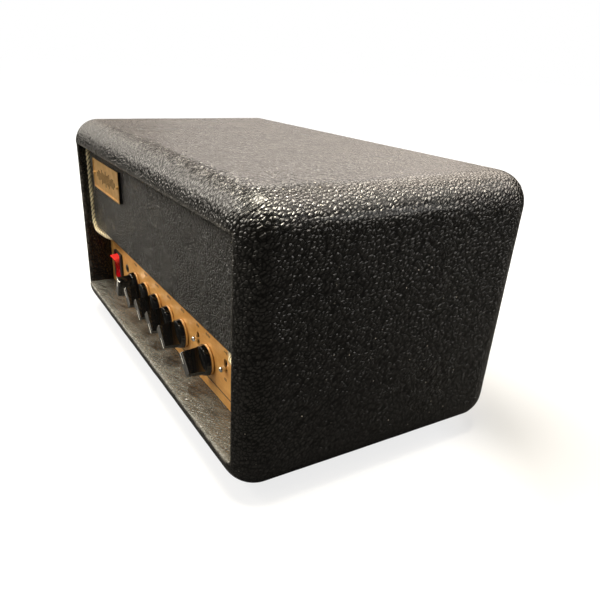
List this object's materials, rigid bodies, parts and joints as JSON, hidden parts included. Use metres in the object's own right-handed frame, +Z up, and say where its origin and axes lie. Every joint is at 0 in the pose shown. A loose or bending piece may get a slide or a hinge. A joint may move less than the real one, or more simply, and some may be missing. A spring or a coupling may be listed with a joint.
{
  "type": "guitar amplifier head",
  "caption": "Compact guitar amplifier head: rounded vinyl-covered cabinet, recessed gold control panel with bar knobs, mini toggles and a red rocker, rear sockets.",
  "frame": {"origin": "on the ground under the middle of the cabinet", "axes": "+X to the player's right, +Y towards the back, +Z up"},
  "size_m": [0.318, 0.185, 0.167],
  "materials": {
    "vinyl": "black vinyl with a pebbled grain",
    "baffle_vinyl": "charcoal vinyl with a fine grain",
    "plywood": "bare birch plywood",
    "rear_paint": "plywood painted black",
    "cord": "twisted gold and black cord",
    "badge_brass": "satin brass with dark engraving",
    "gold_plate": "brushed gold anodising",
    "black_steel": "fine black powder coat",
    "zinc_steel": "bright zinc plating",
    "shaft_metal": "turned",
    "knob_plastic": "moulded, glossy",
    "lever_chrome": "polished",
    "red_plastic": "translucent red, glossy",
    "black_plastic": "moulded",
    "led_lens": "tinted amber-brown lens, unlit",
    "foot_rubber": "moulded rubber",
    "board_green": "glass-fibre board with solder mask",
    "pot_metal": "pressed steel",
    "sink_metal": "black anodised",
    "capacitor_sleeve": "shrink sleeve",
    "ferrite": "copper winding over a ferrite ring",
    "cable_grey": "ribbon insulation",
    "lead_red": "wire insulation"
  },
  "bodies": {
    "cabinet": {"badge_plate": "badge_brass", "badge_studs": "badge_brass", "baffle_battens": "plywood", "baffle_board": "plywood", "baffle_covering": "baffle_vinyl", "baffle_screws": "zinc_steel", "board_screws": "zinc_steel", "bottom_board": "plywood", "cabinet_covering": "vinyl", "capacitors": "capacitor_sleeve", "chassis_bolts": "zinc_steel", "chassis_cover": "black_steel", "chassis_tray": "black_steel", "control_board": "board_green", "cover_screws": "zinc_steel", "dc_inlet": "black_plastic", "faceplate": "gold_plate", "feet": "foot_rubber", "foot_screws": "zinc_steel", "glue_blocks": "plywood", "heatsink": "sink_metal", "input_jack": "black_plastic", "jack_nuts": "zinc_steel", "led_holder": "black_plastic", "left_side_board": "plywood", "main_board": "board_green", "output_inductors": "ferrite", "piping": "cord", "pot_bodies": "pot_metal", "pot_nuts": "zinc_steel", "power_devices": "black_plastic", "power_leads": "lead_red", "power_led": "led_lens", "rear_battens": "plywood", "rear_cup_washers": "zinc_steel", "rear_jacks": "black_plastic", "rear_panel": "rear_paint", "rear_panel_screws": "zinc_steel", "ribbon_cable": "cable_grey", "right_side_board": "plywood", "rocker_housing": "black_plastic", "standoffs": "zinc_steel", "toggle_bodies": "black_plastic", "top_board": "plywood", "vent_grille": "black_steel"},
    "presence_control": {"presence_knob": "knob_plastic", "presence_shaft": "shaft_metal"},
    "treble_control": {"treble_knob": "knob_plastic", "treble_shaft": "shaft_metal"},
    "middle_control": {"middle_knob": "knob_plastic", "middle_shaft": "shaft_metal"},
    "bass_control": {"bass_knob": "knob_plastic", "bass_shaft": "shaft_metal"},
    "master_control": {"master_knob": "knob_plastic", "master_shaft": "shaft_metal"},
    "gain_control": {"gain_knob": "knob_plastic", "gain_shaft": "shaft_metal"},
    "power_rocker": {"rocker_button": "red_plastic"},
    "tight_toggle": {"tight_toggle_lever": "lever_chrome"},
    "bright_toggle": {"bright_toggle_lever": "lever_chrome"}
  },
  "joints": [
    {"name": "presence_turn", "type": "hinge", "parent": "cabinet", "child": "presence_control", "pos_m": [-0.0727, -0.0779, 0.0467], "axis": [0, 1, 0], "range_deg": [-170, 130]},
    {"name": "treble_turn", "type": "hinge", "parent": "cabinet", "child": "treble_control", "pos_m": [-0.0472, -0.0779, 0.0467], "axis": [0, 1, 0], "range_deg": [-107, 193]},
    {"name": "middle_turn", "type": "hinge", "parent": "cabinet", "child": "middle_control", "pos_m": [-0.0217, -0.0779, 0.0467], "axis": [0, 1, 0], "range_deg": [-287, 13]},
    {"name": "bass_turn", "type": "hinge", "parent": "cabinet", "child": "bass_control", "pos_m": [0.0038, -0.0779, 0.0467], "axis": [0, 1, 0], "range_deg": [-287, 13]},
    {"name": "master_turn", "type": "hinge", "parent": "cabinet", "child": "master_control", "pos_m": [0.0293, -0.0779, 0.0467], "axis": [0, 1, 0], "range_deg": [-287, 13]},
    {"name": "gain_turn", "type": "hinge", "parent": "cabinet", "child": "gain_control", "pos_m": [0.0712, -0.0779, 0.0467], "axis": [0, 1, 0], "range_deg": [-103, 197]},
    {"name": "rocker_press", "type": "hinge", "parent": "cabinet", "child": "power_rocker", "pos_m": [-0.1212, -0.068, 0.0475], "axis": [1, 0, 0], "range_deg": [-26, 0]},
    {"name": "tight_flip", "type": "hinge", "parent": "cabinet", "child": "tight_toggle", "pos_m": [0.0553, -0.0641, 0.0544], "axis": [1, 0, 0], "range_deg": [-11, 11]},
    {"name": "bright_flip", "type": "hinge", "parent": "cabinet", "child": "bright_toggle", "pos_m": [0.0965, -0.0641, 0.0544], "axis": [1, 0, 0], "range_deg": [-22, 0]}
  ]
}
